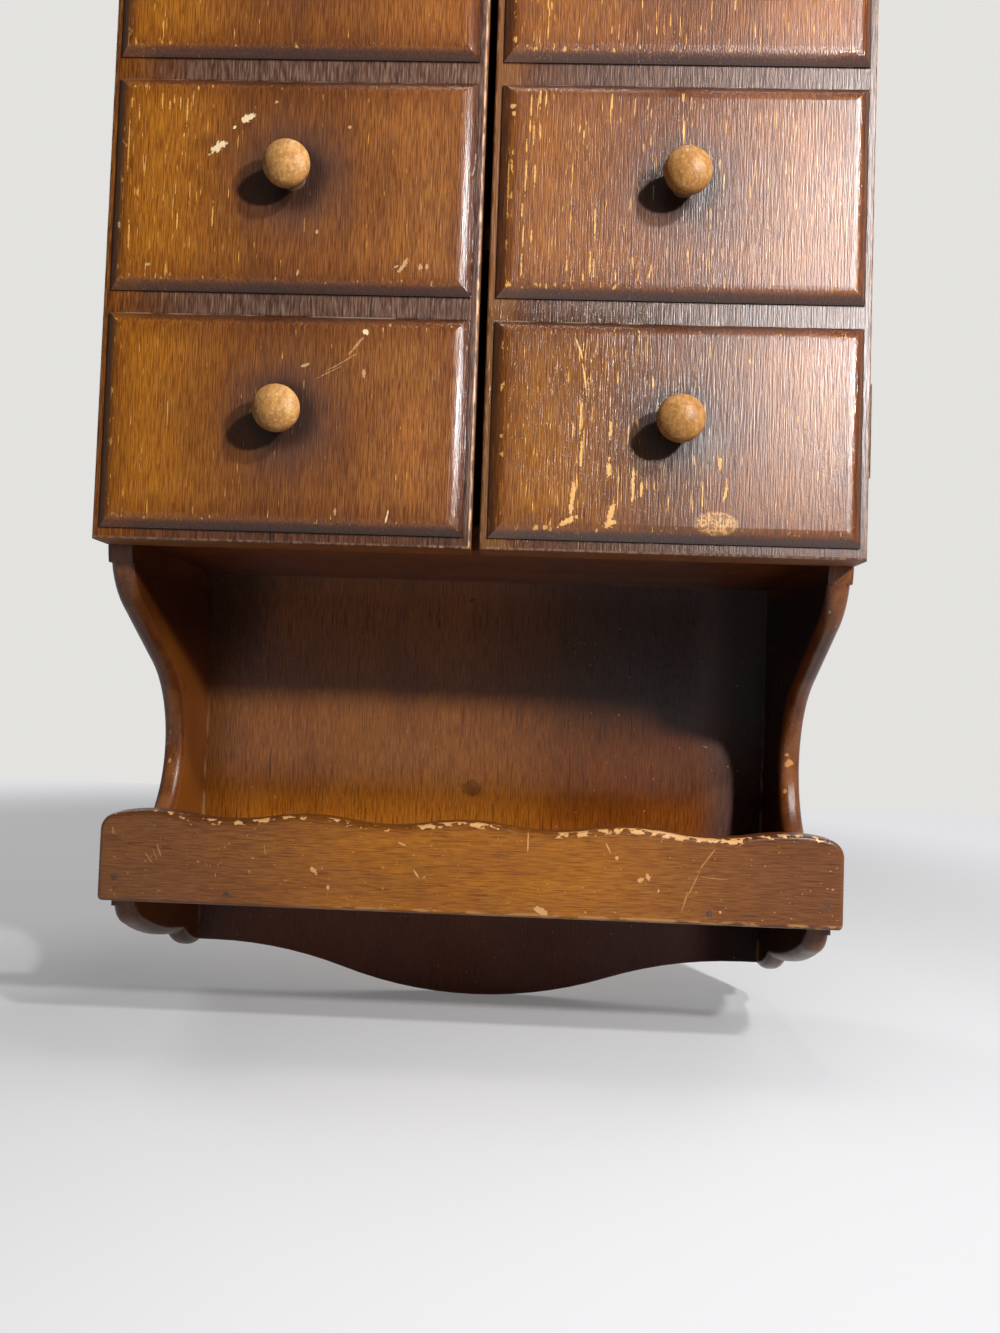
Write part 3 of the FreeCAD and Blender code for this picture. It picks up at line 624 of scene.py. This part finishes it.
# Knobs: turned from pale maple, with a domed face, a neck and a small foot, and a clear finish gone golden.
# Fingers have mottled the faces, the neck and foot behind the rim are dark with painted shade, and a
# slotted screw through the door holds each.
knob_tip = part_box("left_knob_1")[0].y
knob_finish = Finish("knob_maple", tone(214, 160, 94), 0.48)
knob_grain = knob_finish.clouds((0.0016, 0.006, 0.0040), 3.0, 3.0)
knob_finish.shade(knob_grain.rise(0.40, 0.66) * 0.7, tone(212, 188, 160))
knob_finish.coat(knob_finish.mottle(0.0060, 3.0, 1.0).rise(0.42, 0.66) * 0.5, tone(180, 124, 62))
knob_finish.coat(knob_finish.mottle(0.0011, 3.0, 2.0).rise(0.50, 0.68) * 0.55, tone(156, 104, 54))
knob_finish.coat(knob_finish.mottle(0.0014, 3.0, 5.0).rise(0.56, 0.68) * 0.5, tone(240, 198, 136))
# Painted shade on the neck and foot behind the rim
painted_shade_behind_rim = knob_finish.y.rise(knob_tip + 0.0045, knob_tip + 0.0095)
knob_finish.coat(painted_shade_behind_rim * 0.95, tone(70, 46, 30))
knob_finish.shade(knob_finish.x.rise(-0.02, 0.02), tone(220, 214, 204))
knob_finish.lift(knob_finish.mottle(0.0014, 3.0, 2.0), -0.00010)
knob_finish.dull(knob_finish.mottle(0.004, 3.0, 6.0) - 0.5, 0.3)
knob_finish.end(specular=0.35)
widest_head = 0.009
slot_width = 0.0008
slot_depth = 0.0007
merge_reach = 0.000002
level_reach = 0.00001
first_turn = 0.7
next_turn = 1.9
crisp_angle = math.radians(30)


def slotted(name, facing, body, finish):
    """The same screws with a slot sawn across each head, every one turned to where it was driven home."""
    piece = bpy.data.objects.new(name + "_slotted", nodes[name].data.copy())
    bpy.context.scene.collection.objects.link(piece)
    bpy.ops.object.select_all(action="DESELECT")
    piece.select_set(True)
    bpy.context.view_layer.objects.active = piece
    bpy.ops.object.mode_set(mode="EDIT")
    bpy.ops.mesh.select_all(action="SELECT")
    bpy.ops.mesh.remove_doubles(threshold=merge_reach)
    bpy.ops.object.mode_set(mode="OBJECT")
    facing = Vector(facing)
    level = max(vertex.co.dot(facing) for vertex in piece.data.vertices)
    heads = []
    for vertex in piece.data.vertices:
        if vertex.co.dot(facing) > level - level_reach:
            same = [head for head in heads if (head[0] - vertex.co).length < widest_head]
            if same:
                same[0].append(vertex.co.copy())
            else:
                heads.append([vertex.co.copy()])
    for count, head in enumerate(heads):
        middle = sum(head, Vector()) / len(head)
        bpy.ops.mesh.primitive_cube_add(size=1.0, location=middle)
        saw = bpy.context.object
        saw.scale = (2 * widest_head, slot_width, 2 * slot_depth)
        saw.rotation_mode = "QUATERNION"
        driven = Quaternion((0, 0, 1), first_turn + next_turn * count)
        saw.rotation_quaternion = facing.to_track_quat("Z", "Y") @ driven
        bpy.context.view_layer.objects.active = piece
        cut = piece.modifiers.new("slot", "BOOLEAN")
        cut.object = saw
        cut.solver = "EXACT"
        bpy.ops.object.modifier_apply(modifier="slot")
        bpy.data.objects.remove(saw)
    bpy.ops.object.select_all(action="DESELECT")
    piece.select_set(True)
    bpy.ops.object.shade_smooth_by_angle(angle=crisp_angle)
    piece.material_slots[0].material = finish.material
    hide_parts(name)
    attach(piece, body)


steel_finish = Finish("screw_steel", tone(150, 148, 143), 0.46, metallic=1.0)
steel_finish.shade(steel_finish.mottle(0.0020, 4.0, 1.0).rise(0.42, 0.66) * 0.7, tone(176, 160, 146))
steel_finish.dull(steel_finish.mottle(0.0012, 3.0, 4.0) - 0.4, 0.4)
steel_finish.lift(steel_finish.mottle(0.0010, 3.0, 6.0), 0.00002)
steel_finish.end()
for side in ("left", "right"):
    for row in range(4):
        knob_finish.lay(side + "_knob_%d" % (row + 1))
    slotted(side + "_knob_screws", (0, 1, 0), side + "_leaf", steel_finish)


# Hinges: pairs of small brass butts let into the side and the door, each with a fixed pin and with slotted
# countersunk screws of the same brass. It has gone brown in patches and is bright elsewhere.
brass_finish = Finish("hinge_brass", tone(162, 124, 68), 0.34, metallic=1.0)
brass_finish.coat(brass_finish.mottle(0.0040, 4.0, 1.0).rise(0.44, 0.66) * 0.75, tone(112, 80, 46))
brass_finish.coat(brass_finish.mottle(0.0012, 3.0, 2.0).rise(0.60, 0.70) * 0.7, tone(86, 62, 40))
brass_finish.dull(brass_finish.mottle(0.0025, 3.0, 3.0) - 0.4, 0.5)
brushed_brass = brass_finish.clouds((0.004, 0.0004, 0.0004), 2.0, 4.0)
brass_finish.lift(brushed_brass, 0.00002)
brass_finish.end()
for side in ("left", "right"):
    for level in ("upper", "lower"):
        for piece in ("case_leaf", "door_leaf", "pin"):
            brass_finish.lay("%s_%s_hinge_%s" % (side, level, piece))
    slotted(side + "_hinge_case_screws", (0, -1, 0), "case", brass_finish)
    slotted(side + "_hinge_door_screws", (0, 1, 0), side + "_leaf", brass_finish)


# Catches: an aluminium housing screwed up under the top board, with a magnet that holds the strike plate.
# The aluminium is satin and a little scuffed, and the magnet is dull grey ferrite. The strike is a plate of
# the screws' steel, and one screw holds it to the inside of the door.
housing_finish = Finish("catch_aluminium", tone(160, 160, 158), 0.54, metallic=1.0)
housing_finish.shade(housing_finish.mottle(0.006, 3.0, 1.0).rise(0.4, 0.65) * 0.5, tone(200, 196, 190))
housing_finish.lift(housing_finish.clouds((0.004, 0.0003, 0.0003), 2.0, 2.0), 0.00002)
housing_finish.dull(housing_finish.mottle(0.003, 3.0, 3.0) - 0.5, 0.25)
housing_finish.end()
magnet_finish = Finish("catch_magnet", tone(64, 64, 66), 0.5)
magnet_finish.coat(magnet_finish.mottle(0.0010, 3.0, 1.0).rise(0.45, 0.65), tone(42, 42, 45))
magnet_finish.lift(magnet_finish.mottle(0.0005, 2.0, 2.0), 0.00004)
magnet_finish.end()
for side in ("left", "right"):
    housing_finish.lay(side + "_catch_housing")
    magnet_finish.lay(side + "_catch_magnet")
    slotted(side + "_catch_screws", (0, 0, -1), "case", steel_finish)
    steel_finish.lay(side + "_strike")
    slotted(side + "_strike_screw", (0, 1, 0), side + "_leaf", steel_finish)


# Stage: a pale floor under the apron, an even pale room, two lamps one above the other at the right in
# front, a soft one above and two behind, and the camera where the photograph was taken from.
lowest = cad_box[0].z
floor_gap = 0.0002
floor_width = 8.0
floor_front = -5.0
floor_back = 1.07
bpy.ops.mesh.primitive_plane_add(size=1.0, location=(0.0, 0.0, 0.0))
floor = bpy.context.object
floor.name = "pale_floor"
for vertex in floor.data.vertices:
    floor_end = floor_back if vertex.co.y > 0 else floor_front
    vertex.co = (vertex.co.x * floor_width, floor_end, lowest - floor_gap)


def wired(tree, kind, inputs, **options):
    """The outputs of a new node, with its inputs set to these values or joined to other nodes."""
    node = tree.nodes.new(kind)
    for option, value in options.items():
        setattr(node, option, value)
    for name, value in inputs.items():
        if isinstance(value, bpy.types.NodeSocket):
            tree.links.new(value, node.inputs[name])
        else:
            node.inputs[name].default_value = value
    return node.outputs


def scaled(tree, value, given, wanted, **options):
    """A value that goes from the first wanted end to the second as another goes between its given ends."""
    ends = {"Value": value, "From Min": given[0], "From Max": given[1],
            "To Min": wanted[0], "To Max": wanted[1]}
    return wired(tree, "ShaderNodeMapRange", ends, **options)["Result"]


def seen_share(tree):
    """1 for what the camera, a gloss or a glass sees, 0 for light that falls on the object."""
    rays = wired(tree, "ShaderNodeLightPath", {})
    share = rays["Is Camera Ray"]
    for kind in ("Is Glossy Ray", "Is Transmission Ray"):
        share = wired(tree, "ShaderNodeMath", {0: share, 1: rays[kind]}, operation="MAXIMUM")[0]
    return share


# The floor glows evenly away from the shadow, and throws little light back up
shadow_middle = (-0.25, 0.30, lowest)
shadow_reach = (0.40, 0.95)
glow_ends = (0.19, 0.92)
floor_finish = bpy.data.materials.new("floor_paint")
floor_finish.use_nodes = True
tree = floor_finish.node_tree
tree.nodes.remove(tree.nodes["Principled BSDF"])
paint = wired(tree, "ShaderNodeBsdfDiffuse", {"Color": tone(232, 232, 234)})[0]
dim_paint = wired(tree, "ShaderNodeBsdfDiffuse", {"Color": tone(126, 124, 122)})[0]
thrown_back = wired(tree, "ShaderNodeLightPath", {})["Is Diffuse Ray"]
lit = wired(tree, "ShaderNodeMixShader", {0: thrown_back, 1: paint, 2: dim_paint})[0]
glow = wired(tree, "ShaderNodeEmission", {"Color": tone(230, 230, 232)})[0]
place = wired(tree, "ShaderNodeTexCoord", {})["Object"]
apart = wired(tree, "ShaderNodeVectorMath", {0: place, 1: shadow_middle}, operation="DISTANCE")["Value"]
glow_share = scaled(tree, apart, shadow_reach, glow_ends, interpolation_type="SMOOTHSTEP")
glow_share = wired(tree, "ShaderNodeMath", {0: seen_share(tree), 1: glow_share}, operation="MULTIPLY")[0]
surface = wired(tree, "ShaderNodeMixShader", {0: glow_share, 1: lit, 2: glow})[0]
tree.links.new(surface, tree.nodes["Material Output"].inputs[0])
floor.data.materials.append(floor_finish)

# The room is even to the camera, and to a gloss it is dark in front and dim at the left behind
wall_level = 0.85
fill_level = 0.03
world = bpy.data.worlds.new("pale_room")
bpy.context.scene.world = world
world.use_nodes = True
tree = world.node_tree
room = tree.nodes["Background"]
room.inputs["Color"].default_value = tone(244, 243, 240)
toward = wired(tree, "ShaderNodeSeparateXYZ", {0: wired(tree, "ShaderNodeTexCoord", {})["Generated"]})
by_camera = wired(tree, "ShaderNodeLightPath", {})["Is Camera Ray"]
before = scaled(tree, toward["X"], (0.05, 0.22), (0.14, 0.03))
before = scaled(tree, by_camera, (0.0, 1.0), (before, wall_level))
behind = scaled(tree, toward["X"], (-0.5, 0.0), (0.25, wall_level))
behind = scaled(tree, by_camera, (0.0, 1.0), (behind, wall_level))
all_round = scaled(tree, toward["Y"], (-0.4, 0.3), (before, behind))
room_level = scaled(tree, seen_share(tree), (0.0, 1.0), (fill_level, all_round))
tree.links.new(room_level, room.inputs["Strength"])


def lamp(name, place, aim, size, power):
    """A round lamp that lights the object and isn't seen itself."""
    light = bpy.data.lights.new(name, "AREA")
    light.shape = "DISK"
    light.size = size
    light.energy = power
    stand = bpy.data.objects.new(name, light)
    bpy.context.scene.collection.objects.link(stand)
    stand.location = place
    stand.rotation_euler = (Vector(aim) - Vector(place)).to_track_quat("-Z", "Y").to_euler()
    stand.visible_camera = False


lamp("lower_key_lamp", place=(0.43, -0.60, -0.12), aim=(0.0, -0.12, -0.32), size=0.05, power=3.9)
lamp("upper_key_lamp", place=(0.43, -0.60, 0.09), aim=(0.0, -0.12, -0.22), size=0.05, power=3.6)
lamp("ceiling_lamp", place=(0.1, -0.2, 1.6), aim=(0.0, -0.1, -0.5), size=0.35, power=8.5)
lamp("left_back_lamp", place=(-1.1, 0.8, 0.5), aim=(0.0, 0.0, -0.25), size=0.8, power=5.0)
lamp("right_back_lamp", place=(1.1, 0.9, 0.5), aim=(0.0, 0.0, -0.25), size=0.8, power=5.0)

photo_width = 1000
photo_height = 1333
film_width = 36.0
camera_place = (0.02395, -0.51649, -0.41877)
camera_roll = 1.984
camera_pitch = -2.092
camera_yaw = 1.824
camera = bpy.data.cameras.new("camera")
camera.sensor_width = film_width
camera.lens = film_width * photo_width / photo_height
camera.clip_start = 0.01
holder = bpy.data.objects.new("camera", camera)
bpy.context.scene.collection.objects.link(holder)
roll = Matrix.Rotation(math.radians(camera_roll), 3, "Z")
pitch = Matrix.Rotation(math.radians(camera_pitch), 3, "X")
yaw = Matrix.Rotation(math.radians(camera_yaw), 3, "Y")
level_view = Matrix(((1, 0, 0), (0, 0, -1), (0, 1, 0)))
right, down, ahead = roll @ pitch @ yaw @ level_view
turn = Matrix((right, -down, -ahead)).transposed().to_4x4()
holder.matrix_world = Matrix.Translation(camera_place) @ turn
bpy.context.scene.camera = holder
bpy.context.scene.view_settings.view_transform = "Standard"
